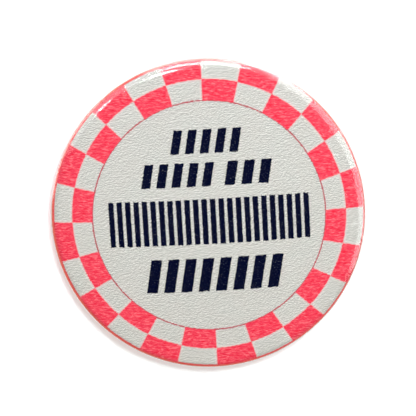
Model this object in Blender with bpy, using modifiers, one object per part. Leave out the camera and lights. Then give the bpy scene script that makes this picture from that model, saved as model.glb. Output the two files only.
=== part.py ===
"""Button badge: a domed tinplate shell wrapped in a printed paper disc and a clear film, closed by a
back plate that holds a wire pin.

Units are metres, +Z up. The badge stands upright, as worn: its face looks along -Y, its back along +Y,
and the origin is the centre of the back plate's flat outer face.

Every piece is modelled lying down, face up, with its heights along its local +Z. The empty
badge_stand turns them all upright.
"""

import math

import bmesh
import bpy
from mathutils import Matrix, Vector

MM = 0.001

# Badge: outer sizes of the wrapped body. Heights are measured from the back plate's outer face.
BADGE_RADIUS = 16.0 * MM
DOME_RADIUS = 62.0 * MM
FRONT_EDGE_RADIUS = 1.3 * MM
BACK_EDGE_RADIUS = 1.5 * MM
GIRTH_HEIGHT = 0.95 * MM
SEGMENTS = 48

# Layers of the wrap, from the outside in. Their lips all end at one angle past the girth.
FILM_THICKNESS = 0.06 * MM
PAPER_THICKNESS = 0.12 * MM
SHELL_THICKNESS = 0.25 * MM
LAYER_GAP = 0.02 * MM
LIP_ANGLE = math.radians(150)

# Back plate: a flat centre, a dish, a raised ring, and a flange that sits under the wrapped lip.
PLATE_THICKNESS = 0.25 * MM
PLATE_CENTRE_RADIUS = 2.2 * MM
DISH_RADIUS = 10.0 * MM
DISH_FALL = 0.03 * MM
RING_INNER_RADIUS = 10.6 * MM
RING_OUTER_RADIUS = 12.8 * MM
RING_RISE = 0.9 * MM
GROOVE_RADIUS = 12.95 * MM
FLANGE_RADIUS = 14.9 * MM
FLANGE_DEPTH = 0.5 * MM
PLATE_BEND_RADIUS = 0.4 * MM

# Lanced straps: strips of the plate pushed out over the wire, each over its own window.
STRAP_ANGLES = (math.radians(-40), math.radians(-140))
STRAP_WIDTH = 1.4 * MM
STRAP_THICKNESS = 0.20 * MM
STRAP_FOOT = 2.1 * MM
STRAP_BEND = 1.5 * MM
STRAP_TOP = 0.8 * MM
STRAP_CLEARANCE = 0.10 * MM
STRAP_BEND_RADIUS = 0.3 * MM
WINDOW_LENGTH = 3.4 * MM
WINDOW_WIDTH = 1.9 * MM
CUTTER_DEPTH = 2.0 * MM

# Pin wire: a hoop on the plate, a hooked catch at its right end and a needle from its left end.
WIRE_RADIUS = 0.4 * MM
WIRE_CLEARANCE = 0.05 * MM
HOOP_RADIUS = 8.6 * MM
HOOP_END_ANGLE = math.radians(8)
NEEDLE_LINE = 3.0 * MM
NEEDLE_LIFT = 1.5 * MM
NEEDLE_TIP_PAST_CATCH = 1.4 * MM
NEEDLE_TAPER = 4.0 * MM
NEEDLE_TIP_SHARE = 0.12
CATCH_SIDE_GAP = 0.95 * MM
CATCH_ARM_GAP = 0.95 * MM
CATCH_REACH = 0.0 * MM
CATCH_BEND_RADIUS = 0.55 * MM
SPRING_BEND_RADIUS = 1.0 * MM
LEG_START = 0.12 * MM
LEG_BEND_RADIUS = 0.6 * MM
HINGE_ALONG_LEG = 0.6 * MM
HINGE_GAP = 0.3 * MM
WIRE_ON_PLATE = WIRE_RADIUS + WIRE_CLEARANCE

# Straight steps in each curved stretch.
DOME_STEPS = 3
EDGE_STEPS = 4
BACK_EDGE_STEPS = 6
BEND_STEPS = 4
PLATE_BEND_STEPS = 2
STRAP_BEND_STEPS = 2
LEG_BEND_STEPS = 2
HOOP_STEPS = 30


def clear_scene():
    """Remove every object that the file starts with."""
    for obj in list(bpy.data.objects):
        bpy.data.objects.remove(obj, do_unlink=True)


def make_material(name, colour, roughness, metallic, alpha=1.0):
    """A Principled material with one colour."""
    material = bpy.data.materials.new(name)
    material.use_nodes = True
    shader = material.node_tree.nodes["Principled BSDF"]
    shader.inputs["Base Color"].default_value = (*colour, 1.0)
    shader.inputs["Roughness"].default_value = roughness
    shader.inputs["Metallic"].default_value = metallic
    shader.inputs["Alpha"].default_value = alpha
    return material


def add_object(name, data, collection, parent, material=None):
    """Put mesh or curve data in the scene as a named object under its parent."""
    obj = bpy.data.objects.new(name, data)
    collection.objects.link(obj)
    obj.parent = parent
    if material:
        data.materials.append(material)
    return obj


def rounded_path(corners, radius, steps=BEND_STEPS):
    """The line through some corners, with an arc of one radius in place of each inner corner."""
    path = [corners[0]]
    for before, corner, after in zip(corners, corners[1:], corners[2:]):
        into = (corner - before).normalized()
        out = (after - corner).normalized()
        turn = into.angle(out)
        inward = (out - into * into.dot(out)).normalized()
        start = corner - into * radius * math.tan(turn / 2)
        for step in range(steps + 1):
            angle = turn * step / steps
            path.append(start + into * radius * math.sin(angle) + inward * radius * (1 - math.cos(angle)))
    path.append(corners[-1])
    return path


def add_turned(name, profile, collection, parent, material):
    """Turn a profile of (radius, height) points about the local Z axis."""
    mesh = bpy.data.meshes.new(name)
    points = [(radius, 0.0, height) for radius, height in profile]
    mesh.from_pydata(points, [(i, i + 1) for i in range(len(points) - 1)], [])
    turned = add_object(name, mesh, collection, parent, material)
    screw = turned.modifiers.new("turn", "SCREW")
    screw.axis = "Z"
    screw.steps = SEGMENTS
    screw.render_steps = SEGMENTS
    screw.use_merge_vertices = True
    screw.merge_threshold = 0.01 * MM
    screw.use_smooth_shade = True
    return turned


def wrap_surface(inset):
    """The wrapped body's section, moved inwards by inset: the dome, the front edge and the back edge."""
    edge_radius = BADGE_RADIUS - FRONT_EDGE_RADIUS
    slope = math.asin(edge_radius / (DOME_RADIUS - FRONT_EDGE_RADIUS))
    dome_centre = GIRTH_HEIGHT - (DOME_RADIUS - FRONT_EDGE_RADIUS) * math.cos(slope)
    points = []
    for step in range(DOME_STEPS):
        angle = slope * step / DOME_STEPS
        radius = DOME_RADIUS - inset
        points.append((radius * math.sin(angle), dome_centre + radius * math.cos(angle)))
    for step in range(EDGE_STEPS + 1):
        angle = slope + (math.pi / 2 - slope) * step / EDGE_STEPS
        radius = FRONT_EDGE_RADIUS - inset
        points.append((edge_radius + radius * math.sin(angle), GIRTH_HEIGHT + radius * math.cos(angle)))
    for step in range(1, BACK_EDGE_STEPS + 1):
        angle = LIP_ANGLE * step / BACK_EDGE_STEPS
        radius = BACK_EDGE_RADIUS - inset
        reach = BADGE_RADIUS - BACK_EDGE_RADIUS + radius * math.cos(angle)
        points.append((reach, GIRTH_HEIGHT - radius * math.sin(angle)))
    return points


def add_layer(name, inset, thickness, collection, parent, material):
    """One layer of the wrap: its outer surface, then its inner surface back to the axis."""
    outer = wrap_surface(inset)
    inner = wrap_surface(inset + thickness)
    return add_turned(name, outer + inner[::-1], collection, parent, material)


def add_back_plate(collection, cutters, parent, material):
    """The back plate: a turned sheet with a raised ring, two windows and the strap over each."""
    corners = [
        Vector((FLANGE_RADIUS, FLANGE_DEPTH, 0)),
        Vector((GROOVE_RADIUS, FLANGE_DEPTH, 0)),
        Vector((RING_OUTER_RADIUS, -RING_RISE, 0)),
        Vector((RING_INNER_RADIUS, -RING_RISE, 0)),
        Vector((DISH_RADIUS, DISH_FALL, 0)),
        Vector((PLATE_CENTRE_RADIUS, 0, 0)),
    ]
    bends = rounded_path(corners, PLATE_BEND_RADIUS, PLATE_BEND_STEPS)
    profile = [(point.x, point.y) for point in bends] + [(0.0, 0.0)]
    plate = add_turned("back_plate", profile, collection, parent, material)
    sheet = plate.modifiers.new("thickness", "SOLIDIFY")
    sheet.thickness = PLATE_THICKNESS
    sheet.offset = -1.0
    sheet.use_even_offset = True
    for number, angle in enumerate(STRAP_ANGLES, start=1):
        place = Matrix.Rotation(angle, 4, "Z") @ Matrix.Translation((HOOP_RADIUS, 0, 0))
        window = add_window(f"window_cutter_{number}", place, cutters, parent)
        strap = add_strap(f"strap_{number}", place, cutters, parent, material)
        for operation, tool in (("DIFFERENCE", window), ("UNION", strap)):
            boolean = plate.modifiers.new(tool.name, "BOOLEAN")
            boolean.operation = operation
            boolean.solver = "EXACT"
            boolean.object = tool
    return plate


def add_window(name, place, cutters, parent):
    """The box that cuts the hole which a strap was pushed out of."""
    mesh = bpy.data.meshes.new(name)
    block = bmesh.new()
    size = Matrix.Diagonal((WINDOW_LENGTH, WINDOW_WIDTH, CUTTER_DEPTH, 1.0))
    bmesh.ops.create_cube(block, size=1.0, matrix=size)
    block.to_mesh(mesh)
    block.free()
    return hide_tool(add_object(name, mesh, cutters, parent), place)


def add_strap(name, place, cutters, parent, material):
    """A strap that arches over the wire, with both feet inside the plate's thickness."""
    foot_height = PLATE_THICKNESS / 2 + DISH_FALL
    top_height = -(WIRE_ON_PLATE + WIRE_RADIUS + STRAP_CLEARANCE + STRAP_THICKNESS / 2)
    arch = [
        Vector((-STRAP_FOOT, 0, foot_height)),
        Vector((-STRAP_BEND, 0, foot_height)),
        Vector((-STRAP_TOP, 0, top_height)),
        Vector((STRAP_TOP, 0, top_height)),
        Vector((STRAP_BEND, 0, foot_height)),
        Vector((STRAP_FOOT, 0, foot_height)),
    ]
    mesh = bpy.data.meshes.new(name)
    strip = bmesh.new()
    side = Vector((0, -STRAP_WIDTH / 2, 0))
    row = [strip.verts.new(point + side) for point in rounded_path(arch, STRAP_BEND_RADIUS, STRAP_BEND_STEPS)]
    edges = [strip.edges.new(pair) for pair in zip(row, row[1:])]
    swept = bmesh.ops.extrude_edge_only(strip, edges=edges)["geom"]
    moved = [item for item in swept if isinstance(item, bmesh.types.BMVert)]
    bmesh.ops.translate(strip, verts=moved, vec=-2 * side)
    strip.to_mesh(mesh)
    strip.free()
    strap = add_object(name, mesh, cutters, parent, material)
    sheet = strap.modifiers.new("thickness", "SOLIDIFY")
    sheet.thickness = STRAP_THICKNESS
    sheet.offset = 0.0
    sheet.use_even_offset = True
    return hide_tool(strap, place)


def hide_tool(tool, place):
    """Place a Boolean's tool, and keep it out of the render."""
    tool.matrix_local = place
    tool.hide_render = True
    tool.display_type = "WIRE"
    return tool


def add_wire(name, points, radii, origin, collection, parent, material):
    """A round wire along some points, with a share of the full radius at each and its own origin."""
    curve = bpy.data.curves.new(name, "CURVE")
    curve.dimensions = "3D"
    curve.bevel_depth = WIRE_RADIUS
    curve.bevel_resolution = 2
    curve.use_fill_caps = True
    spline = curve.splines.new("POLY")
    spline.points.add(len(points) - 1)
    for knot, point, radius in zip(spline.points, points, radii):
        knot.co = (*(point - origin), 1.0)
        knot.radius = radius
    wire = add_object(name, curve, collection, parent, material)
    wire.location = origin
    return wire


def leg_line():
    """The short leg from the hoop's left end out to the needle: its start, its corner and its direction."""
    side = -HOOP_RADIUS * math.cos(HOOP_END_ANGLE)
    start = Vector((side, HOOP_RADIUS * math.sin(HOOP_END_ANGLE) + LEG_START, -WIRE_ON_PLATE))
    corner = Vector((side, NEEDLE_LINE, -NEEDLE_LIFT))
    return start, corner, (corner - start).normalized()


def add_hoop(collection, parent, material):
    """The wire's fixed length: the catch's rounded end, the catch, the hoop and half of the leg."""
    start, _, along = leg_line()
    hinge = start + along * HINGE_ALONG_LEG
    side = HOOP_RADIUS * math.cos(HOOP_END_ANGLE)
    riser = NEEDLE_LINE - CATCH_SIDE_GAP
    arm = -(NEEDLE_LIFT + CATCH_ARM_GAP)
    catch_end = Vector((side, NEEDLE_LINE + CATCH_REACH, arm))
    hoop_end = Vector((side, HOOP_RADIUS * math.sin(HOOP_END_ANGLE), -WIRE_ON_PLATE))
    hook = [catch_end, Vector((side, riser, arm)), Vector((side, riser, -WIRE_ON_PLATE)), hoop_end]
    points, radii = [], []
    for angle in (math.radians(80), math.radians(50), math.radians(25)):
        points.append(catch_end + Vector((0, WIRE_RADIUS * math.sin(angle), 0)))
        radii.append(math.cos(angle))
    points += rounded_path(hook, CATCH_BEND_RADIUS)
    for step in range(1, HOOP_STEPS + 1):
        angle = HOOP_END_ANGLE - (math.pi + 2 * HOOP_END_ANGLE) * step / HOOP_STEPS
        points.append(Vector((HOOP_RADIUS * math.cos(angle), HOOP_RADIUS * math.sin(angle), -WIRE_ON_PLATE)))
    leg = [points.pop(), start, hinge - along * HINGE_GAP / 2]
    points += rounded_path(leg, LEG_BEND_RADIUS, LEG_BEND_STEPS)
    radii += [1.0] * (len(points) - len(radii))
    return add_wire("pin_hoop", points, radii, Vector(), collection, parent, material)


def add_needle(collection, parent, material):
    """The wire's moving length: half of the leg, the spring bend and the needle. Its origin is the hinge."""
    start, corner, along = leg_line()
    hinge = start + along * HINGE_ALONG_LEG
    tip = Vector((-corner.x + NEEDLE_TIP_PAST_CATCH, corner.y, corner.z))
    taper = tip - Vector((NEEDLE_TAPER, 0, 0))
    points = rounded_path([hinge + along * HINGE_GAP / 2, corner, taper], SPRING_BEND_RADIUS)
    radii = [1.0] * len(points)
    for share in (0.5, 0.85, 1.0):
        points.append(taper.lerp(tip, share))
        radii.append(1.0 - (1.0 - NEEDLE_TIP_SHARE) * share ** 1.5)
    return add_wire("pin_needle", points, radii, hinge, collection, parent, material)


def build():
    """Make the whole badge."""
    clear_scene()
    badge = bpy.data.collections.new("button_badge")
    cutters = bpy.data.collections.new("cutters")
    bpy.context.scene.collection.children.link(badge)
    bpy.context.scene.collection.children.link(cutters)
    stand = bpy.data.objects.new("badge_stand", None)
    stand.rotation_euler = (math.pi / 2, 0, 0)
    badge.objects.link(stand)

    film = make_material("clear_film", (0.95, 0.95, 0.95), 0.08, 0.0, alpha=0.15)
    paper = make_material("printed_paper", (0.74, 0.74, 0.69), 0.75, 0.0)
    tinplate = make_material("tinplate", (0.62, 0.62, 0.60), 0.32, 1.0)
    steel = make_material("pin_steel", (0.66, 0.66, 0.67), 0.22, 1.0)

    paper_inset = FILM_THICKNESS + LAYER_GAP
    shell_inset = paper_inset + PAPER_THICKNESS + LAYER_GAP
    add_layer("clear_film", 0.0, FILM_THICKNESS, badge, stand, film)
    add_layer("printed_disc", paper_inset, PAPER_THICKNESS, badge, stand, paper)
    add_layer("front_shell", shell_inset, SHELL_THICKNESS, badge, stand, tinplate)
    add_back_plate(badge, cutters, stand, tinplate)
    add_hoop(badge, stand, steel)
    add_needle(badge, stand, steel)


build()
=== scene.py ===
"""Looks for the button badge: a printed paper face under clear film, wrapped over a domed tin shell,
with a tinplate back and a wire pin.

Everything sits in the part's own frame: the face looks along -Y and +Z is up as worn. Sizes are in
millimetres, and MM makes them metres where a mesh is made. The turned pieces are worked out lying
face up, as (radius, turn about the axis, height towards the face).
"""

import math

import bmesh
import bpy
from mathutils import Matrix, Vector, noise


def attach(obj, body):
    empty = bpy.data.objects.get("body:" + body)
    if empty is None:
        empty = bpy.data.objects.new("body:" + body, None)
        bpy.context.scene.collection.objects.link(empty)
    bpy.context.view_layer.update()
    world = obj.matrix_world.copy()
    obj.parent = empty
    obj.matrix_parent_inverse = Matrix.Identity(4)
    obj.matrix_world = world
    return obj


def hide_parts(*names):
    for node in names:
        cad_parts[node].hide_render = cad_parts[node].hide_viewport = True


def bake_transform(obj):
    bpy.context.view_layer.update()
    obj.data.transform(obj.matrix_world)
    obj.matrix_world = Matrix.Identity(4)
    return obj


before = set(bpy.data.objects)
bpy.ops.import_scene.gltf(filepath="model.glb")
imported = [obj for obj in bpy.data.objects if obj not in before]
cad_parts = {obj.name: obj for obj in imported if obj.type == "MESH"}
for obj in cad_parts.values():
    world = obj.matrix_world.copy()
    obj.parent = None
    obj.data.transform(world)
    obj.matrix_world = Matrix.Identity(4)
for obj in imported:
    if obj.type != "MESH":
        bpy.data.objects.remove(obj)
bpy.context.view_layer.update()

MM = 0.001

# The wrapped body, as in the part.
BADGE_RADIUS = 16.0
DOME_RADIUS = 62.0
FRONT_EDGE_RADIUS = 1.3
BACK_EDGE_RADIUS = 1.5
GIRTH_HEIGHT = 0.95
LIP_ANGLE = math.radians(150)
FILM_THICKNESS = 0.06
PAPER_THICKNESS = 0.12
LAYER_GAP = 0.02

# The back plate and its straps, as in the part.
PLATE_THICKNESS = 0.25
PLATE_CENTRE_RADIUS = 2.2
DISH_RADIUS = 10.0
DISH_FALL = 0.03
RING_INNER_RADIUS = 10.6
RING_OUTER_RADIUS = 12.8
RING_RISE = 0.9
GROOVE_RADIUS = 12.95
FLANGE_RADIUS = 14.9
FLANGE_DEPTH = 0.5
PLATE_BEND_RADIUS = 0.4
STRAP_ANGLES = (math.radians(-40), math.radians(-140))
STRAP_WIDTH = 1.4
STRAP_THICKNESS = 0.2
STRAP_FOOT = 2.1
STRAP_BEND = 1.5
STRAP_TOP = 0.8
STRAP_CLEARANCE = 0.1
STRAP_BEND_RADIUS = 0.35
WINDOW_LENGTH = 3.4
WINDOW_WIDTH = 1.9
WINDOW_CORNER = 0.3
CUTTER_DEPTH = 2.0

# The pin wire, as in the part.
WIRE_RADIUS = 0.4
WIRE_ON_PLATE = 0.45
HOOP_RADIUS = 8.6
HOOP_END_ANGLE = math.radians(8)
NEEDLE_LINE = 3.0
NEEDLE_LIFT = 1.5
NEEDLE_TIP_PAST_CATCH = 1.4
NEEDLE_TAPER = 4.0
NEEDLE_TIP_SHARE = 0.1
CATCH_GAP = 0.95
CATCH_BEND_RADIUS = 0.55
CATCH_END_STEPS = 6
CATCH_END_TILT = math.radians(88)
SPRING_BEND_RADIUS = 1.0
NEEDLE_STEP = 0.25
TAPER_STEPS = 12
TAPER_POWER = 1.5
TIP_POINT_SHARE = 0.02

# The leg between the hoop and the needle. The seam is a share of its length, where the moving piece
# starts.
LEG_START = 0.12
LEG_BEND_RADIUS = 0.4
LEG_SEAM = 0.15

# Pleats round the back, where the film and paper were gathered in. A tilt of 90 degrees is the girth,
# and the densities scale the noise around the badge.
PLEAT_TILT_START = math.radians(105)
PLEAT_TILT_FULL = math.radians(200)
PLEAT_TILT_LIP = math.radians(235)
PLEAT_LOSS_AT_LIP = 0.5
PLEAT_HEIGHT = 0.17
PLEAT_DENSITY = 17
PLEAT_DRIFT = 0.35
PLEAT_BIAS = 0.15
FINE_PLEAT_HEIGHT = 0.08
FINE_PLEAT_DENSITY = 41
FINE_PLEAT_DRIFT = 0.5

# Creases that run along the rim where the film and paper were pulled over it. They are strong at two
# turns about the axis, and stray ones are weaker.
RIM_CREASE_START = math.radians(20)
RIM_CREASE_END = math.radians(68)
RIM_CREASE_FADE = math.radians(12)
RIM_CREASE_PITCH = math.radians(14)
RIM_CREASE_HEIGHT = 0.012
RIM_CREASE_TURNS = (math.radians(-50), math.radians(-128))
RIM_CREASE_SPREAD = math.radians(11)
RIM_CREASE_STRAY = 0.25
RIM_CREASE_STRAY_DENSITY = 3.1
RIM_CREASE_DRIFT = 2.5
RIM_CREASE_DRIFT_DENSITY = 6

# Fineness of the visible surfaces.
TURN_SEGMENTS = 192
DOME_STEPS = 16
EDGE_STEPS = 28
BACK_EDGE_STEPS = 16
BEND_STEPS = 8
HOOP_STEPS = 96
WIRE_SIDES = 20
WINDOW_CORNER_STEPS = 4
SHARP_ANGLE = math.radians(35)

# The print, in millimetres on the flat sheet.
PRINT_TURN = math.radians(3.2)
PRINT_SHIFT = (0.11, 0.24)
CHECKS_AROUND = 24
RING_INNER = 11.81
RING_MIDDLE = 13.93
RING_OUTER = 15.93
RING_LINE_WIDTH = 0.14
CHECK_SOFTNESS = 0.035
BAR_SOFTNESS = 0.03
LINE_SOFTNESS = 0.03
INK_FRAY = 0.26
# Where the sheet runs round the girth, a painted lighter orange stands in for how the pink looks there in
# grazing light.
PAINTED_EDGE_START = 16.1
PAINTED_EDGE_END = 17.3
PAINTED_EDGE_SOFTNESS = 0.2
BARS = (
    {"low": 6.55, "high": 8.95, "left": -3.3, "right": 3.5, "count": 5, "share": 0.6, "slant": 0.2},
    {"low": 3.25, "high": 5.65, "left": -6.4, "right": 0.6, "count": 5, "share": 0.6, "slant": 0.2},
    {"low": 3.25, "high": 5.65, "left": 1.95, "right": 6.4, "count": 3, "share": 0.62, "slant": 0.2},
    {"low": -2.65, "high": 1.95, "left": -10.1, "right": 10.15, "count": 24, "share": 0.66, "slant": 0.0},
    {"low": -7.6, "high": -4.1, "left": -6.4, "right": 7.0, "count": 8, "share": 0.64, "slant": 0.2},
)

# The paper's fibres: how many to a millimetre across and up, the step towards the light that gives their
# painted shading, and how strongly each kind shows.
FIBRE_STRETCH = (4.1, 8.0, 1.0)
FIBRE_LIGHT_STEP = (-0.02, 0.055, 0.0)
FIBRE_CONTRAST = 5.2
FINE_FIBRE_STRETCH = (9.0, 16.0, 1.0)
FINE_FIBRE_CONTRAST = 1.8
STREAK_STRETCH = (1.7, 6.0, 1.0)
FRAY_STRETCH = (5.0, 10.0, 1.0)

# Linear colours of the paper and its inks. Each shaded and lit pair gives the two ends of the painted
# shading of the fibre relief, which also carries random tone.
PAPER_SHADED_COOL = (0.375, 0.395, 0.37)
PAPER_SHADED_WARM = (0.39, 0.39, 0.365)
PAPER_LIT = (0.81, 0.815, 0.775)
RED_SHADED = (0.84, 0.040, 0.078)
RED_LIT = (0.91, 0.085, 0.138)
RED_PALE = (0.98, 0.22, 0.26)
RED_DEEP = (0.88, 0.020, 0.05)
# Painted edge light: the lighter orange used for the pink round the girth.
PAINTED_EDGE_ORANGE = (0.95, 0.19, 0.10)
CIRCLE_RED = (0.48, 0.05, 0.075)
NAVY = (0.0008, 0.0022, 0.019)
NAVY_WORN = (0.008, 0.012, 0.042)
HALO_WHITE = (0.76, 0.73, 0.70)
FRINGE_PINK = (0.88, 0.40, 0.40)

# The film: how much it mirrors face on and how much more edge on, and where on the sheet, in millimetres,
# its fine wrinkles and its pimples start.
FILM_MIRROR_FACE_ON = 0.02
FILM_MIRROR_RISE = 0.97
WRINKLE_START = 14.4
WRINKLE_FULL = 15.4
WRINKLES_AROUND = 15.0
WRINKLE_STRETCH = (1.7, 3.6, 1.0)
PIMPLE_DENSITY = 0.85
PIMPLE_REACH = 0.31
PIMPLE_START = 13.9
PIMPLE_FULL = 14.4

# Colours of the metals.
SHELL_TIN = (0.66, 0.65, 0.62)
BACK_TIN = (0.72, 0.71, 0.68)
TIN_SPECK = (0.42, 0.38, 0.33)
TIN_DULLING = 0.78
WIRE_NICKEL = (0.70, 0.69, 0.66)
WIRE_WORN = (0.56, 0.52, 0.46)

# The room: the ways to its paler parts, what glossy surfaces mirror of it, the even light that matt ones
# take from it, and what the camera sees of it.
UP_AND_RIGHT = (0.66, 0.0, 0.75)
STRAIGHT_BEHIND = (0.0, 0.98, -0.19)
MIRRORED_LOW = (0.24, 0.21, 0.18)
MIRRORED_HIGH = (0.62, 0.63, 0.65)
MIRRORED_FRONT = (0.03, 0.03, 0.033)
MIRRORED_BEHIND = (1.0, 0.95, 0.92)
EVEN_LOW = (0.46, 0.41, 0.35)
EVEN_HIGH = (0.55, 0.56, 0.58)
EVEN_BEHIND = (0.85, 0.81, 0.77)
SEEN_ROOM = (1.05, 1.05, 1.05)

# Camera and stage, in millimetres, apart from the near clip in metres. The backdrop stands just behind
# the badge's rim.
CAMERA_AZIMUTH = math.radians(0.5)
CAMERA_ELEVATION = math.radians(10.8)
CAMERA_DISTANCE = 187.0
CAMERA_LENS = 159.3
CAMERA_AIM = (-0.01, -0.95, 0.71)
CAMERA_SENSOR = 36.0
CAMERA_CLIP_START = 0.005
BACKDROP_PLACE = 0.65
BACKDROP_SIZE = 50.0
BACKDROP_SHADE = (0.82, 0.94, 0.945)
BACKDROP_TINT = (0.85, 0.97, 0.975)
BACKDROP_GLOW = 0.13
FLOOR_SIZE = 900.0
FLOOR_HEIGHT = -60.0
FLOOR_SHADE = (0.90, 0.90, 0.89)
FLOOR_TINT = (0.96, 0.96, 0.95)


# ---------------------------------------------------------------------------------------------
# Shapes
# ---------------------------------------------------------------------------------------------


def world_point(radius, turn, height):
    """A point on the lying badge, as metres in the part's frame."""
    return Vector((radius * math.cos(turn), -height, radius * math.sin(turn))) * MM


def smooth_step(value, low, high):
    """0 below low, 1 above high, and a smooth rise between."""
    share = min(max((value - low) / (high - low), 0.0), 1.0)
    return share * share * (3 - 2 * share)


def wrap_section(inset):
    """The wrapped body's section under some inset: (radius, height, tilt, arc length) from axis to lip."""
    edge_reach = BADGE_RADIUS - FRONT_EDGE_RADIUS
    slope = math.asin(edge_reach / (DOME_RADIUS - FRONT_EDGE_RADIUS))
    dome_centre = GIRTH_HEIGHT - (DOME_RADIUS - FRONT_EDGE_RADIUS) * math.cos(slope)
    stretches = (
        (0.0, slope, DOME_STEPS, 0.0, dome_centre, DOME_RADIUS - inset),
        (slope, math.pi / 2, EDGE_STEPS, edge_reach, GIRTH_HEIGHT, FRONT_EDGE_RADIUS - inset),
        (
            math.pi / 2,
            math.pi / 2 + LIP_ANGLE,
            BACK_EDGE_STEPS,
            BADGE_RADIUS - BACK_EDGE_RADIUS,
            GIRTH_HEIGHT,
            BACK_EDGE_RADIUS - inset,
        ),
    )
    section, arc = [(0.0, dome_centre + DOME_RADIUS - inset, 0.0, 0.0)], 0.0
    for start, end, steps, reach, centre, radius in stretches:
        for step in range(1, steps + 1):
            tilt = start + (end - start) * step / steps
            arc += radius * (end - start) / steps
            section.append((reach + radius * math.sin(tilt), centre + radius * math.cos(tilt), tilt, arc))
    return section


def back_pleats(tilt, around):
    """How far the pleats round the back stand out at a place."""
    gather = smooth_step(tilt, PLEAT_TILT_START, PLEAT_TILT_FULL)
    gather *= 1 - PLEAT_LOSS_AT_LIP * smooth_step(tilt, PLEAT_TILT_FULL, PLEAT_TILT_LIP)
    fold = noise.noise(around * PLEAT_DENSITY + Vector((0, 0, tilt * PLEAT_DRIFT)))
    fine = noise.noise(around * FINE_PLEAT_DENSITY + Vector((3, 7, tilt * FINE_PLEAT_DRIFT)))
    return gather * (PLEAT_HEIGHT * max(fold + PLEAT_BIAS, 0.0) + FINE_PLEAT_HEIGHT * max(fine, 0.0))


def rim_creases(tilt, turn, around):
    """How far the creases along the rim stand out at a place, or dip."""
    on_rim = smooth_step(tilt, RIM_CREASE_START, RIM_CREASE_START + RIM_CREASE_FADE)
    on_rim *= 1 - smooth_step(tilt, RIM_CREASE_END - RIM_CREASE_FADE, RIM_CREASE_END)
    stray = noise.noise(around * RIM_CREASE_STRAY_DENSITY + Vector((5, 1, 2)))
    strength = RIM_CREASE_STRAY * max(stray, 0.0)
    for place in RIM_CREASE_TURNS:
        away = math.remainder(turn - place, 2 * math.pi)
        strength += math.exp(-((away / RIM_CREASE_SPREAD) ** 2))
    drift = RIM_CREASE_DRIFT * noise.noise(around * RIM_CREASE_DRIFT_DENSITY + Vector((9, 4, 0)))
    wave = math.sin(2 * math.pi * tilt / RIM_CREASE_PITCH + drift)
    return RIM_CREASE_HEIGHT * strength * on_rim * wave


def wrap_swell(tilt, turn):
    """How far the wrapped layers stand out at a place: pleats round the back, and creases along the rim."""
    around = Vector((math.cos(turn), math.sin(turn), 0.0))
    return back_pleats(tilt, around) + rim_creases(tilt, turn, around)


def add_piece(name, mesh, material, body, node):
    """Put a mesh in the scene as a piece that stands for a CAD node. It rides on a body, if one is given."""
    piece = bpy.data.objects.new(name, mesh)
    bpy.context.scene.collection.objects.link(piece)
    mesh.materials.append(material)
    if body:
        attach(piece, body)
    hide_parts(node)
    return piece


def turned_skin(name, section, swell=None):
    """A closed skin turned from (radius, height, tilt, arc) stations, which may stand out by a swell."""
    mesh = bpy.data.meshes.new(name)
    skin = bmesh.new()
    print_place = skin.verts.layers.float_vector.new("sheet")
    rings = []
    for radius, height, tilt, arc in section:
        ring = []
        turns = TURN_SEGMENTS if radius > 0 else 1
        for number in range(turns):
            turn = 2 * math.pi * number / TURN_SEGMENTS
            out = swell(tilt, turn) if swell and radius > 0 else 0.0
            reach = radius + out * math.sin(tilt)
            vertex = skin.verts.new(world_point(reach, turn, height + out * math.cos(tilt)))
            vertex[print_place] = (arc * math.cos(turn), arc * math.sin(turn), 0.0)
            ring.append(vertex)
        rings.append(ring)
    for inner, outer in zip(rings, rings[1:]):
        for number in range(TURN_SEGMENTS):
            after = (number + 1) % TURN_SEGMENTS
            corners = [inner[number % len(inner)], outer[number % len(outer)]]
            corners += [outer[after % len(outer)], inner[after % len(inner)]]
            skin.faces.new(list(dict.fromkeys(corners)))
    bmesh.ops.recalc_face_normals(skin, faces=skin.faces)
    for face in skin.faces:
        face.smooth = True
    skin.to_mesh(mesh)
    skin.free()
    return mesh


def wrap_layer(name, inset, thickness):
    """One layer of the wrap, with its outer and inner surfaces and the cut edge at its lip."""
    outer = wrap_section(inset)
    inner = wrap_section(inset + thickness)
    return turned_skin(name, outer + inner[::-1], wrap_swell)


def rounded_path(corners, radius, steps=BEND_STEPS):
    """The line through some corners, with an arc of one radius in place of each inner corner."""
    path = [corners[0]]
    for before, corner, after in zip(corners, corners[1:], corners[2:]):
        into = (corner - before).normalized()
        out = (after - corner).normalized()
        turn = into.angle(out)
        inward = (out - into * into.dot(out)).normalized()
        start = corner - into * radius * math.tan(turn / 2)
        for step in range(steps + 1):
            angle = turn * step / steps
            path.append(start + into * radius * math.sin(angle) + inward * radius * (1 - math.cos(angle)))
    path.append(corners[-1])
    return path


def offset_line(line, distance):
    """A line of (radius, height) points moved sideways by a distance."""
    moved = []
    for number, point in enumerate(line):
        before, after = line[max(number - 1, 0)], line[min(number + 1, len(line) - 1)]
        along = (after - before).normalized()
        moved.append(point + Vector((-along.y, along.x, 0)) * distance)
    return moved


def plate_skin():
    """The back plate before its straps are lanced: a sheet with a dish, a ring and a flange."""
    corners = [
        Vector((PLATE_CENTRE_RADIUS, 0, 0)),
        Vector((DISH_RADIUS, DISH_FALL, 0)),
        Vector((RING_INNER_RADIUS, -RING_RISE, 0)),
        Vector((RING_OUTER_RADIUS, -RING_RISE, 0)),
        Vector((GROOVE_RADIUS, FLANGE_DEPTH, 0)),
        Vector((FLANGE_RADIUS, FLANGE_DEPTH, 0)),
    ]
    face = rounded_path(corners, PLATE_BEND_RADIUS)
    back = offset_line(face, PLATE_THICKNESS)
    line = [Vector((0, 0, 0))] + face + back[::-1] + [Vector((0, PLATE_THICKNESS, 0))]
    return turned_skin("back_plate_sheet", [(point.x, point.y, 0.0, 0.0) for point in line])


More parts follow.
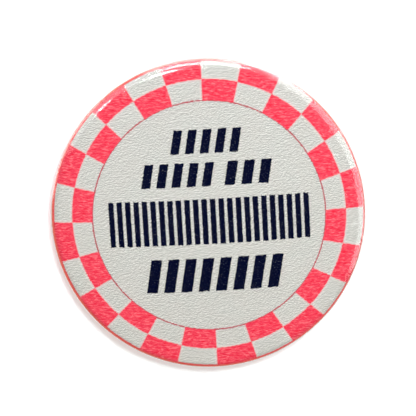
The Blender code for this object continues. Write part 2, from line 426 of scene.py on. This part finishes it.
def strap_mesh():
    """One strap: a bent strip whose feet run into the plate."""
    foot = PLATE_THICKNESS / 2 + DISH_FALL
    top = -(WIRE_ON_PLATE + WIRE_RADIUS + STRAP_CLEARANCE + STRAP_THICKNESS / 2)
    arch = [
        Vector((-STRAP_FOOT, foot, 0)),
        Vector((-STRAP_BEND, foot, 0)),
        Vector((-STRAP_TOP, top, 0)),
        Vector((STRAP_TOP, top, 0)),
        Vector((STRAP_BEND, foot, 0)),
        Vector((STRAP_FOOT, foot, 0)),
    ]
    line = rounded_path(arch, STRAP_BEND_RADIUS)
    rim = offset_line(line, STRAP_THICKNESS / 2) + offset_line(line, -STRAP_THICKNESS / 2)[::-1]
    strip = bmesh.new()
    sides = []
    for side in (-STRAP_WIDTH / 2, STRAP_WIDTH / 2):
        sides.append([strip.verts.new((point.x, side, point.y)) for point in rim])
    count = len(rim)
    strip.faces.new(sides[0])
    strip.faces.new(sides[1][::-1])
    for number in range(count):
        after = (number + 1) % count
        strip.faces.new([sides[0][number], sides[1][number], sides[1][after], sides[0][after]])
    bmesh.ops.recalc_face_normals(strip, faces=strip.faces)
    mesh = bpy.data.meshes.new("strap")
    strip.to_mesh(mesh)
    strip.free()
    return mesh


def window_mesh():
    """The block, with rounded corners, that cuts the hole under a strap."""
    block = bmesh.new()
    size = Matrix.Diagonal((WINDOW_LENGTH, WINDOW_WIDTH, CUTTER_DEPTH, 1.0))
    bmesh.ops.create_cube(block, size=1.0, matrix=size)
    uprights = [edge for edge in block.edges if abs(edge.verts[0].co.z - edge.verts[1].co.z) > 0.1]
    steps = WINDOW_CORNER_STEPS
    bmesh.ops.bevel(block, geom=uprights, offset=WINDOW_CORNER, segments=steps, affect="EDGES", profile=0.5)
    mesh = bpy.data.meshes.new("window")
    block.to_mesh(mesh)
    block.free()
    return mesh


def finished_mesh(name, obj):
    """An object's mesh with its modifiers applied. The object is removed."""
    shown = obj.evaluated_get(bpy.context.evaluated_depsgraph_get())
    mesh = bpy.data.meshes.new_from_object(shown)
    mesh.name = name
    bpy.data.objects.remove(obj, do_unlink=True)
    return mesh


def back_plate_mesh():
    """The whole back plate: the sheet, two windows and the strap pushed out of each."""
    plate = bpy.data.objects.new("plate_blank", plate_skin())
    bpy.context.scene.collection.objects.link(plate)
    stand = Matrix.Rotation(math.pi / 2, 4, "X") @ Matrix.Scale(MM, 4)
    tools = []
    for angle in STRAP_ANGLES:
        place = stand @ Matrix.Rotation(angle, 4, "Z") @ Matrix.Translation((HOOP_RADIUS, 0, 0))
        for operation, mesh in (("DIFFERENCE", window_mesh()), ("UNION", strap_mesh())):
            mesh.transform(place)
            tool = bpy.data.objects.new("plate_tool", mesh)
            bpy.context.scene.collection.objects.link(tool)
            boolean = plate.modifiers.new("cut", "BOOLEAN")
            boolean.operation = operation
            boolean.solver = "EXACT"
            boolean.object = tool
            tools.append(tool)
    bpy.context.view_layer.update()
    mesh = finished_mesh("back_plate_sheet", plate)
    for tool in tools:
        bpy.data.objects.remove(tool, do_unlink=True)
    mesh.shade_smooth()
    mesh.set_sharp_from_angle(angle=SHARP_ANGLE)
    return mesh


def tube_mesh(name, path, radii):
    """A round wire along points (x, y, height) in millimetres, with a radius at each."""
    mesh = bpy.data.meshes.new(name)
    tube = bmesh.new()
    along = (path[1] - path[0]).normalized()
    side = along.orthogonal().normalized()
    rings = []
    for number, (point, radius) in enumerate(zip(path, radii)):
        before, after = path[max(number - 1, 0)], path[min(number + 1, len(path) - 1)]
        ahead = (after - before).normalized()
        side = (along.rotation_difference(ahead) @ side).normalized()
        along = ahead
        across = along.cross(side)
        ring = []
        for step in range(WIRE_SIDES):
            angle = 2 * math.pi * step / WIRE_SIDES
            place = point + (side * math.cos(angle) + across * math.sin(angle)) * radius
            ring.append(tube.verts.new(Vector((place.x, -place.z, place.y)) * MM))
        rings.append(ring)
    for first, second in zip(rings, rings[1:]):
        for step in range(WIRE_SIDES):
            after = (step + 1) % WIRE_SIDES
            tube.faces.new([first[step], first[after], second[after], second[step]])
    tube.faces.new(rings[0][::-1])
    tube.faces.new(rings[-1])
    bmesh.ops.recalc_face_normals(tube, faces=tube.faces)
    for face in tube.faces:
        face.smooth = len(face.verts) == 4
    tube.to_mesh(mesh)
    tube.free()
    return mesh


def leg_line():
    """The short leg from the hoop's left end out to the needle: its start and its corner."""
    side = -HOOP_RADIUS * math.cos(HOOP_END_ANGLE)
    start = Vector((side, HOOP_RADIUS * math.sin(HOOP_END_ANGLE) + LEG_START, -WIRE_ON_PLATE))
    return start, Vector((side, NEEDLE_LINE, -NEEDLE_LIFT))


def hoop_mesh():
    """The fixed wire: the catch's rounded end, the catch, the hoop and the start of the leg."""
    side = HOOP_RADIUS * math.cos(HOOP_END_ANGLE)
    riser = NEEDLE_LINE - CATCH_GAP
    arm = -(NEEDLE_LIFT + CATCH_GAP)
    catch_end = Vector((side, NEEDLE_LINE, arm))
    hoop_end = Vector((side, HOOP_RADIUS * math.sin(HOOP_END_ANGLE), -WIRE_ON_PLATE))
    hook = [catch_end, Vector((side, riser, arm)), Vector((side, riser, -WIRE_ON_PLATE)), hoop_end]
    points, radii = [], []
    for step in range(CATCH_END_STEPS):
        angle = CATCH_END_TILT * (1 - step / CATCH_END_STEPS)
        points.append(catch_end + Vector((0, WIRE_RADIUS * math.sin(angle), 0)))
        radii.append(WIRE_RADIUS * math.cos(angle))
    points += rounded_path(hook, CATCH_BEND_RADIUS)
    for step in range(1, HOOP_STEPS + 1):
        angle = HOOP_END_ANGLE - (math.pi + 2 * HOOP_END_ANGLE) * step / HOOP_STEPS
        points.append(Vector((HOOP_RADIUS * math.cos(angle), HOOP_RADIUS * math.sin(angle), -WIRE_ON_PLATE)))
    start, corner = leg_line()
    points += rounded_path([points.pop(), start, start.lerp(corner, LEG_SEAM)], LEG_BEND_RADIUS)
    radii += [WIRE_RADIUS] * (len(points) - len(radii))
    return tube_mesh("pin_hoop_wire", points, radii)


def needle_mesh():
    """The moving wire: most of the leg, the spring bend and the sharpened needle."""
    start, corner = leg_line()
    seam = start.lerp(corner, LEG_SEAM)
    tip = Vector((-corner.x + NEEDLE_TIP_PAST_CATCH, corner.y, corner.z))
    taper = tip - Vector((NEEDLE_TAPER, 0, 0))
    bent = rounded_path([seam, corner, taper], SPRING_BEND_RADIUS)
    points = []
    for first, second in zip(bent, bent[1:]):
        steps = max(1, math.ceil((second - first).length / NEEDLE_STEP))
        points += [first.lerp(second, step / steps) for step in range(steps)]
    radii = [WIRE_RADIUS] * len(points)
    for step in range(TAPER_STEPS + 1):
        share = step / TAPER_STEPS
        points.append(taper.lerp(tip, share))
        radii.append(WIRE_RADIUS * (1 - (1 - NEEDLE_TIP_SHARE) * share**TAPER_POWER))
    radii[-1] = WIRE_RADIUS * TIP_POINT_SHARE
    return tube_mesh("pin_needle_wire", points, radii)


# ---------------------------------------------------------------------------------------------
# Materials
# ---------------------------------------------------------------------------------------------


class Graph:
    """Short calls that build one material's nodes, or the world's."""

    def __init__(self, name, tree=None):
        if tree is None:
            self.material = bpy.data.materials.new(name)
            self.material.use_nodes = True
            tree = self.material.node_tree
        self.tree = tree
        self.tree.nodes.clear()

    def put(self, socket, value):
        """Link a socket to another one, or give it a constant."""
        if isinstance(value, bpy.types.NodeSocket):
            self.tree.links.new(value, socket)
        elif isinstance(value, (tuple, list)) and len(value) == 3 and socket.type == "RGBA":
            socket.default_value = (*value, 1.0)
        else:
            socket.default_value = value

    def node(self, kind, inputs=None, **settings):
        """A node with some settings, and its inputs by name or number."""
        made = self.tree.nodes.new("ShaderNode" + kind)
        for key, value in settings.items():
            setattr(made, key, value)
        for key, value in (inputs or {}).items():
            self.put(made.inputs[key], value)
        return made

    def math(self, operation, *values):
        """One sum or other operation on numbers."""
        made = self.node("Math", dict(enumerate(values)), operation=operation)
        return made.outputs[0]

    def vector(self, operation, *values):
        """One operation on vectors."""
        made = self.node("VectorMath", operation=operation)
        for number, value in enumerate(values):
            self.put(made.inputs["Scale" if operation == "SCALE" and number == 1 else number], value)
        return made.outputs["Value" if operation in ("LENGTH", "DOT_PRODUCT") else "Vector"]

    def rise(self, value, low, high, start=0.0, end=1.0):
        """A smooth rise from start to end as value goes from low to high."""
        inputs = {"Value": value, "From Min": low, "From Max": high, "To Min": start, "To Max": end}
        return self.node("MapRange", inputs, interpolation_type="SMOOTHSTEP").outputs["Result"]

    def between(self, value, low, high, soft):
        """1 where value lies between two limits, with soft edges."""
        above = self.rise(value, low - soft, low + soft)
        return self.math("MULTIPLY", above, self.rise(value, high - soft, high + soft, 1.0, 0.0))

    def blend(self, share, first, second):
        """A colour between two others."""
        made = self.node("Mix", data_type="RGBA")
        self.put(made.inputs[0], share)
        self.put(made.inputs[6], first)
        self.put(made.inputs[7], second)
        return made.outputs[2]

    def grain(self, place, scale, detail=2.0, roughness=0.5, distortion=0.0, stretch=None):
        """Noise from about 0 to 1, at a scale in steps per unit of place."""
        if stretch:
            place = self.vector("MULTIPLY", place, stretch)
        inputs = {"Vector": place, "Scale": scale, "Detail": detail}
        inputs.update({"Roughness": roughness, "Distortion": distortion})
        return self.node("TexNoise", inputs).outputs["Fac"]

    def bump(self, height, distance, strength=1.0, normal=None):
        """A bumped normal from a height from 0 to 1 and its real depth in millimetres."""
        inputs = {"Height": height, "Distance": distance * MM, "Strength": strength}
        if normal:
            inputs["Normal"] = normal
        return self.node("Bump", inputs).outputs["Normal"]

    def end(self, shader):
        """Finish the material with a shader."""
        self.node("OutputMaterial", {"Surface": shader.outputs[0]})
        return self.material


def turned_place(graph, place, angle, shift):
    """A place moved by a shift and then turned about the axis."""
    moved = graph.vector("SUBTRACT", place, (*shift, 0.0))
    node = graph.node("VectorRotate", {"Vector": moved, "Angle": -angle}, rotation_type="Z_AXIS")
    return node.outputs["Vector"]


def check_ring(graph, across, up):
    """The ring at a place: how much red ink its checks and bleed give, the radius, and the way to an edge."""
    squares = graph.math("MULTIPLY", across, across), graph.math("MULTIPLY", up, up)
    radius = graph.math("SQRT", graph.math("ADD", *squares))
    turn = graph.math("ARCTAN2", up, across)
    wave = graph.math("SINE", graph.math("MULTIPLY", turn, CHECKS_AROUND / 2))
    side = graph.math("MULTIPLY", wave, graph.math("MULTIPLY", radius, 2 / CHECKS_AROUND))
    odd = graph.rise(side, -CHECK_SOFTNESS, CHECK_SOFTNESS)
    outer_row, in_ring, bleed = [
        graph.rise(radius, edge - CHECK_SOFTNESS, edge + CHECK_SOFTNESS)
        for edge in (RING_MIDDLE, RING_INNER, RING_OUTER)
    ]
    both = graph.math("MULTIPLY", odd, outer_row)
    neither = graph.math("MULTIPLY", graph.math("SUBTRACT", 1.0, odd), graph.math("SUBTRACT", 1.0, outer_row))
    checks = graph.math("ADD", both, neither)
    checks = graph.math("MAXIMUM", graph.math("MULTIPLY", checks, in_ring), bleed)
    return checks, radius, side


def bar_rows(graph, across, up):
    """How much navy ink lies at a place: four rows of plain bars."""
    ink = 0.0
    for row in BARS:
        middle = (row["low"] + row["high"]) / 2
        lean = graph.math("MULTIPLY", graph.math("SUBTRACT", up, middle), row["slant"])
        along = graph.math("SUBTRACT", across, lean)
        pitch = (row["right"] - row["left"]) / (row["count"] - 1 + row["share"])
        place = graph.math("DIVIDE", graph.math("SUBTRACT", along, row["left"]), pitch)
        part = graph.math("FRACT", place)
        soft = BAR_SOFTNESS / pitch
        bar = graph.between(part, 0.0, row["share"], soft)
        bar = graph.math("MAXIMUM", bar, graph.rise(part, 1 - soft, 1 + soft))
        bar = graph.math("MULTIPLY", bar, graph.between(along, row["left"], row["right"], BAR_SOFTNESS))
        bar = graph.math("MULTIPLY", bar, graph.between(up, row["low"], row["high"], BAR_SOFTNESS))
        ink = graph.math("ADD", ink, bar)
    return ink


def fibre_relief(graph, sheet):
    """The paper's fibres, its finer fibres, and their painted relief shading mixed with random fine tone:
    from 0 in painted shade to 1 on a painted lit crest.
    """
    above = graph.vector("ADD", sheet, FIBRE_LIGHT_STEP)
    here, there = [graph.grain(at, 1.0, 2.0, 0.55, 1.0, stretch=FIBRE_STRETCH) for at in (sheet, above)]
    fine = graph.grain(sheet, 1.0, 2.0, 0.5, 0.3, stretch=FINE_FIBRE_STRETCH)
    # Painted shading: the fibres less the same fibres a step towards the light, so crests are painted lit and
    # hollows painted shaded.
    relief_shade_and_tone = graph.math("MULTIPLY_ADD", graph.math("SUBTRACT", here, there), FIBRE_CONTRAST, 0.5)
    fine_tone = graph.math("MULTIPLY", graph.math("SUBTRACT", fine, 0.5), FINE_FIBRE_CONTRAST)
    relief_shade_and_tone = graph.math("ADD", relief_shade_and_tone, fine_tone)
    return here, fine, graph.node("Clamp", {0: relief_shade_and_tone}).outputs[0]


def frayed_place(graph, sheet):
    """Where a place on the sheet lies in the print, with the small shifts that fray the ink's edges."""
    fray = graph.vector("MULTIPLY", sheet, FRAY_STRETCH)
    fray = graph.node("TexNoise", {"Vector": fray, "Scale": 1.0, "Detail": 2.0}).outputs["Color"]
    fray = graph.vector("SCALE", graph.vector("SUBTRACT", fray, (0.5, 0.5, 0.5)), INK_FRAY)
    place = turned_place(graph, graph.vector("ADD", sheet, fray), PRINT_TURN, PRINT_SHIFT)
    parts = graph.node("SeparateXYZ", {0: place})
    return parts.outputs[0], parts.outputs[1]


def red_ink(graph, sheet, relief_shade_and_tone):
    """The ring's neon red, with painted shading of the fibre relief and pale and deep streaks along the
    fibres.
    """
    streak = graph.grain(sheet, 1.0, 3.0, 0.6, 0.8, stretch=STREAK_STRETCH)
    # Painted shading of the fibre relief, from shaded red to lit red.
    red = graph.blend(relief_shade_and_tone, RED_SHADED, RED_LIT)
    red = graph.blend(graph.rise(streak, 0.5, 0.66, 0.0, 0.8), red, RED_PALE)
    return graph.blend(graph.rise(streak, 0.32, 0.47, 0.8, 0.0), red, RED_DEEP)


def bare_paper(graph, sheet, relief_shade_and_tone, radius, side):
    """The paper's white, with painted shading of its fibre relief, a pink fringe and a paler halo beside the
    edges of the checks.
    """
    warm = graph.rise(graph.grain(sheet, 0.35, 2.0), 0.35, 0.65)
    # Painted shading of the fibre relief, from shaded paper to lit paper, with random warm and cool tone.
    white = graph.blend(relief_shade_and_tone, graph.blend(warm, PAPER_SHADED_COOL, PAPER_SHADED_WARM), PAPER_LIT)
    to_row = graph.math("ABSOLUTE", graph.math("SUBTRACT", radius, RING_MIDDLE))
    near = graph.math("MINIMUM", graph.math("ABSOLUTE", side), to_row)
    in_ring = graph.rise(radius, RING_INNER - 0.05, RING_INNER + 0.1)
    halo = graph.math("MULTIPLY", graph.between(near, 0.08, 0.24, 0.06), in_ring)
    fringe = graph.math("MULTIPLY", graph.rise(near, 0.0, 0.17, 0.5, 0.0), in_ring)
    white = graph.blend(graph.math("MULTIPLY", halo, 0.35), white, HALO_WHITE)
    return graph.blend(fringe, white, FRINGE_PINK)


def paper_material():
    """Uncoated paper with a fibre grain and painted shading of its relief, printed with a check ring, a thin
    circle and rows of bars, and painted a lighter orange round its girth.
    """
    graph = Graph("printed_paper")
    sheet = graph.node("Attribute", attribute_name="sheet").outputs["Vector"]
    across, up = frayed_place(graph, sheet)
    fibre, fine, relief_shade_and_tone = fibre_relief(graph, sheet)
    checks, radius, side = check_ring(graph, across, up)

    half = RING_LINE_WIDTH / 2
    circle = graph.between(radius, RING_INNER - half, RING_INNER + half, LINE_SOFTNESS)
    painted_edge = graph.between(radius, PAINTED_EDGE_START, PAINTED_EDGE_END, PAINTED_EDGE_SOFTNESS)
    navy = graph.blend(graph.rise(fine, 0.55, 0.85), NAVY, NAVY_WORN)
    worn = graph.rise(graph.grain(sheet, 9.0, 1.0), 0.64, 0.78, 1.0, 0.7)

    colour = bare_paper(graph, sheet, relief_shade_and_tone, radius, side)
    colour = graph.blend(graph.math("MULTIPLY", circle, 0.9), colour, CIRCLE_RED)
    colour = graph.blend(checks, colour, red_ink(graph, sheet, relief_shade_and_tone))
    colour = graph.blend(graph.math("MULTIPLY", bar_rows(graph, across, up), worn), colour, navy)
    # Painted edge light: the pink round the girth is turned a lighter orange.
    colour = graph.blend(graph.math("MULTIPLY", painted_edge, 0.8), colour, PAINTED_EDGE_ORANGE)
    shader = graph.node("BsdfPrincipled", {
        "Base Color": colour,
        "Roughness": graph.rise(fibre, 0.3, 0.7, 0.62, 0.8),
        "Specular IOR Level": 0.0,
        "Normal": graph.bump(fibre, 0.04, 0.9),
    })
    return graph.end(shader)


def rim_wrinkles(graph, sheet, radius):
    """The height of the film's fine wrinkles, which run along the rim."""
    parts = graph.node("SeparateXYZ", {0: sheet})
    turn = graph.math("ARCTAN2", parts.outputs[1], parts.outputs[0])
    along = graph.math("MULTIPLY", turn, WRINKLES_AROUND)
    around = graph.node("CombineXYZ", {0: along, 1: radius}).outputs[0]
    wrinkles = graph.grain(around, 1.0, 3.0, 0.6, 0.5, stretch=WRINKLE_STRETCH)
    return graph.math("MULTIPLY", wrinkles, graph.rise(radius, WRINKLE_START, WRINKLE_FULL))


def rim_pimples(graph, sheet, radius):
    """The height of the small pimples in the film near the rim, where dust lies under it."""
    dust = graph.node("TexVoronoi", {"Vector": sheet, "Scale": PIMPLE_DENSITY, "Randomness": 1.0})
    kept = graph.rise(graph.node("SeparateColor", {0: dust.outputs["Color"]}).outputs[0], 0.54, 0.56)
    pimple = graph.rise(dust.outputs["Distance"], 0.0, PIMPLE_REACH, 1.0, 0.0)
    pimple = graph.math("MULTIPLY", pimple, kept)
    return graph.math("MULTIPLY", pimple, graph.rise(radius, PIMPLE_START, PIMPLE_FULL))


def film_material():
    """Clear polyester: it lets the print through and mirrors more the more it is seen from the side."""
    graph = Graph("clear_film")
    sheet = graph.node("Attribute", attribute_name="sheet").outputs["Vector"]
    radius = graph.vector("LENGTH", sheet)
    facing = graph.node("LayerWeight", {"Blend": 0.5}).outputs["Facing"]
    edge_on = graph.math("POWER", facing, 5.0)
    share = graph.math("MULTIPLY_ADD", edge_on, FILM_MIRROR_RISE, FILM_MIRROR_FACE_ON)

    normal = graph.bump(graph.grain(sheet, 0.9, 2.0, 0.5, 0.4), 0.05, 0.35)
    normal = graph.bump(rim_wrinkles(graph, sheet, radius), 0.035, 0.8, normal)
    normal = graph.bump(rim_pimples(graph, sheet, radius), 0.11, 1.0, normal)
    gloss = graph.node("BsdfAnisotropic", {
        "Color": (1.0, 1.0, 1.0),
        "Roughness": graph.rise(graph.grain(sheet, 3.0, 3.0), 0.35, 0.75, 0.08, 0.15),
        "Normal": normal,
    })
    clear = graph.node("BsdfTransparent", {"Color": (0.99, 0.99, 0.99)})
    return graph.end(graph.node("MixShader", {0: share, 1: clear.outputs[0], 2: gloss.outputs[0]}))


def tinplate_material(name, base):
    """Bright tinplate: rolling lines along one way, fine scratches, and dull handled patches."""
    graph = Graph(name)
    place = graph.vector("SCALE", graph.node("TexCoord").outputs["Object"], 1 / MM)
    lines = graph.grain(place, 1.0, 4.0, 0.6, stretch=(0.25, 3.0, 9.0))
    patches = graph.grain(place, 0.22, 4.0, 0.6, 0.8)
    specks = graph.grain(place, 3.2, 3.0, 0.65)
    scratch = graph.grain(place, 1.0, 2.0, 0.5, 1.2, stretch=(1.1, 0.6, 14.0))
    scratched = graph.rise(scratch, 0.66, 0.7)
    dull = graph.blend(graph.rise(patches, 0.42, 0.64), base, tuple(TIN_DULLING * part for part in base))
    colour = graph.blend(graph.rise(specks, 0.62, 0.74, 0.0, 0.35), dull, TIN_SPECK)
    handled = graph.rise(patches, 0.35, 0.7, 0.2, 0.36)
    rough = graph.math("ADD", handled, graph.rise(lines, 0.3, 0.7, 0.0, 0.1))
    normal = graph.bump(lines, 0.006, 0.8)
    normal = graph.bump(scratched, 0.004, 0.6, normal)
    shader = graph.node("BsdfPrincipled", {
        "Base Color": colour,
        "Metallic": 1.0,
        "Roughness": rough,
        "Normal": normal,
    })
    return graph.end(shader)


def wire_material():
    """Nickel-plated spring wire with faint draw marks and worn, warmer spots."""
    graph = Graph("pin_steel")
    place = graph.vector("SCALE", graph.node("TexCoord").outputs["Object"], 1 / MM)
    marks = graph.grain(place, 5.0, 4.0, 0.65)
    spots = graph.grain(place, 0.9, 3.0, 0.6)
    colour = graph.blend(graph.rise(spots, 0.5, 0.72), WIRE_NICKEL, WIRE_WORN)
    shader = graph.node("BsdfPrincipled", {
        "Base Color": colour,
        "Metallic": 1.0,
        "Roughness": graph.rise(marks, 0.3, 0.75, 0.16, 0.34),
        "Normal": graph.bump(marks, 0.008, 0.6),
    })
    return graph.end(shader)


# ---------------------------------------------------------------------------------------------
# Stage
# ---------------------------------------------------------------------------------------------


def plane_mesh(name, corners):
    """A flat four-cornered sheet. Its front is the side from which its corners run anticlockwise."""
    mesh = bpy.data.meshes.new(name)
    mesh.from_pydata([Vector(corner) * MM for corner in corners], [], [(0, 1, 2, 3)])
    return mesh


def stage_sheet(name, corners, material):
    """A flat piece of the stage. The badge's surfaces neither mirror it nor take its light."""
    sheet = bpy.data.objects.new(name, plane_mesh(name, corners))
    sheet.data.materials.append(material)
    sheet.visible_diffuse = False
    sheet.visible_glossy = False
    bpy.context.scene.collection.objects.link(sheet)
    return sheet


def floor_material():
    """Pale matt paint, slightly uneven."""
    graph = Graph("pale_floor")
    place = graph.node("TexCoord").outputs["Object"]
    tone = graph.blend(graph.grain(place, 40.0, 3.0), FLOOR_SHADE, FLOOR_TINT)
    return graph.end(graph.node("BsdfPrincipled", {"Base Color": tone, "Roughness": 0.8}))


def backdrop_material():
    """Pale card that glows a little on its front, and can't be seen from its back."""
    graph = Graph("pale_backdrop")
    place = graph.node("TexCoord").outputs["Object"]
    tone = graph.blend(graph.grain(place, 400.0, 3.0), BACKDROP_SHADE, BACKDROP_TINT)
    card = graph.node("BsdfDiffuse", {"Color": tone})
    glow = graph.node("Emission", {"Color": (1.0, 1.0, 1.0), "Strength": BACKDROP_GLOW})
    lit = graph.node("AddShader", {0: card.outputs[0], 1: glow.outputs[0]})
    clear = graph.node("BsdfTransparent")
    from_back = graph.node("NewGeometry").outputs["Backfacing"]
    return graph.end(graph.node("MixShader", {0: from_back, 1: lit.outputs[0], 2: clear.outputs[0]}))


def add_stage():
    """A pale floor, and a pale sheet behind the badge that shows only from the front."""
    far, low = FLOOR_SIZE / 2, FLOOR_HEIGHT
    corners = ((-far, -far, low), (far, -far, low), (far, far, low), (-far, far, low))
    floor = stage_sheet("floor", corners, floor_material())
    half, back = BACKDROP_SIZE / 2, BACKDROP_PLACE
    corners = ((-half, back, -half), (half, back, -half), (half, back, half), (-half, back, half))
    backdrop = stage_sheet("backdrop", corners, backdrop_material())
    backdrop.visible_transmission = False
    backdrop.visible_shadow = False


def direction(azimuth, elevation):
    """The way from the badge to something at an azimuth and elevation in degrees, as for the camera."""
    turn, rise = math.radians(azimuth), math.radians(elevation)
    return Vector((math.sin(turn) * math.cos(rise), -math.cos(turn) * math.cos(rise), math.sin(rise)))


def add_light(name, azimuth, elevation, distance, width, height, radiance, matt=True, gloss=True):
    """A soft rectangular light that faces the badge and lights matt surfaces, glossy ones or both.

    It lies at an azimuth and elevation in degrees, at a distance in metres. Its width and height are
    the angles in degrees that it fills as seen from the badge.
    """
    lamp = bpy.data.lights.new(name, "AREA")
    lamp.shape = "RECTANGLE"
    lamp.size = 2 * distance * math.tan(math.radians(width) / 2)
    lamp.size_y = 2 * distance * math.tan(math.radians(height) / 2)
    lamp.energy = 4 * lamp.size * lamp.size_y * radiance
    light = bpy.data.objects.new(name, lamp)
    bpy.context.scene.collection.objects.link(light)
    way = direction(azimuth, elevation)
    light.location = way * distance
    light.rotation_euler = way.to_track_quat("Z", "Y").to_euler()
    light.visible_camera = False
    light.visible_diffuse = matt
    light.visible_glossy = gloss


def add_world():
    """Soft room light, even on matt surfaces.

    Glossy surfaces mirror a room that is dark in front, and paler above, to the right and behind, with a
    bright patch straight behind the badge for the metal of its back.
    """
    world = bpy.data.worlds.new("studio")
    bpy.context.scene.world = world
    world.use_nodes = True
    room = Graph("studio", world.node_tree)
    way = room.node("TexCoord").outputs["Generated"]
    parts = room.node("SeparateXYZ", {0: way})
    high = room.rise(parts.outputs[2], -0.7, 0.7)
    toward = room.rise(room.vector("DOT_PRODUCT", way, UP_AND_RIGHT), 0.2, 0.75)
    behind = room.rise(parts.outputs[1], -0.35, 0.35)
    straight_behind = room.rise(room.vector("DOT_PRODUCT", way, STRAIGHT_BEHIND), 0.72, 0.9)
    mirrored = room.blend(high, MIRRORED_LOW, MIRRORED_HIGH)
    mirrored = room.blend(room.math("MAXIMUM", toward, behind), MIRRORED_FRONT, mirrored)
    mirrored = room.blend(straight_behind, mirrored, MIRRORED_BEHIND)
    even = room.blend(high, EVEN_LOW, EVEN_HIGH)
    even = room.blend(behind, even, EVEN_BEHIND)
    seen = room.node("LightPath")
    shown = room.blend(seen.outputs["Is Glossy Ray"], even, mirrored)
    shown = room.blend(seen.outputs["Is Camera Ray"], shown, SEEN_ROOM)
    background = room.node("Background", {"Color": shown})
    room.node("OutputWorld", {"Surface": background.outputs[0]})


def add_lights():
    """Lights for the print, for what the film's rim mirrors, and for the back."""
    add_light("key", 11.0, 25.0, 0.5, 13, 13, 31.0, gloss=False)
    add_light("fill", -4.0, -22.0, 0.45, 50, 50, 0.6, gloss=False)

    add_light("window", -16.0, 79.0, 0.45, 38, 23, 20.0, matt=False)
    add_light("glow", -20.0, 116.0, 0.45, 70, 50, 2.6, matt=False)
    add_light("left_glow", -75.0, 45.0, 0.45, 50, 60, 2.2, matt=False)
    add_light("right_glow", 84.0, 15.0, 0.45, 70, 95, 4.2, matt=False)
    add_light("spark", -22.0, 41.0, 0.45, 3, 3, 1000.0, matt=False)
    add_light("left_spark", -51.0, 31.0, 0.45, 2.5, 2.5, 600.0, matt=False)

    add_light("back_key", 150.0, 45.0, 0.4, 30, 30, 4.5)
    add_light("back_fill", 235.0, 15.0, 0.4, 25, 40, 2.5)


def add_camera():
    """The camera, a little above the badge and a little to its right."""
    lens = bpy.data.cameras.new("camera")
    lens.lens = CAMERA_LENS
    lens.sensor_width = CAMERA_SENSOR
    lens.clip_start = CAMERA_CLIP_START
    camera = bpy.data.objects.new("camera", lens)
    bpy.context.scene.collection.objects.link(camera)
    way = direction(math.degrees(CAMERA_AZIMUTH), math.degrees(CAMERA_ELEVATION))
    camera.location = (Vector(CAMERA_AIM) + way * CAMERA_DISTANCE) * MM
    camera.rotation_euler = way.to_track_quat("Z", "Y").to_euler()
    bpy.context.scene.camera = camera


# ---------------------------------------------------------------------------------------------
# The badge
# ---------------------------------------------------------------------------------------------


def dress_badge():
    """Put the visible pieces in place of the CAD's, and bright tinplate on its shell."""
    film = wrap_layer("film_wrap", 0.0, FILM_THICKNESS)
    add_piece("film_wrap", film, film_material(), "badge", "clear_film")

    paper_inset = FILM_THICKNESS + LAYER_GAP
    paper = wrap_layer("paper_wrap", paper_inset, PAPER_THICKNESS)
    add_piece("paper_wrap", paper, paper_material(), "badge", "printed_disc")

    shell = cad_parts["front_shell"]
    shell.data.materials.clear()
    shell.data.materials.append(tinplate_material("shell_tinplate", SHELL_TIN))

    plate = tinplate_material("back_tinplate", BACK_TIN)
    add_piece("back_plate_sheet", back_plate_mesh(), plate, "badge", "back_plate")

    steel = wire_material()
    add_piece("pin_hoop_wire", hoop_mesh(), steel, "badge", "pin_hoop")
    needle = add_piece("pin_needle_wire", needle_mesh(), steel, None, "pin_needle")
    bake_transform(needle)


dress_badge()
add_stage()
add_world()
add_lights()
add_camera()
bpy.context.scene.view_settings.view_transform = "Standard"
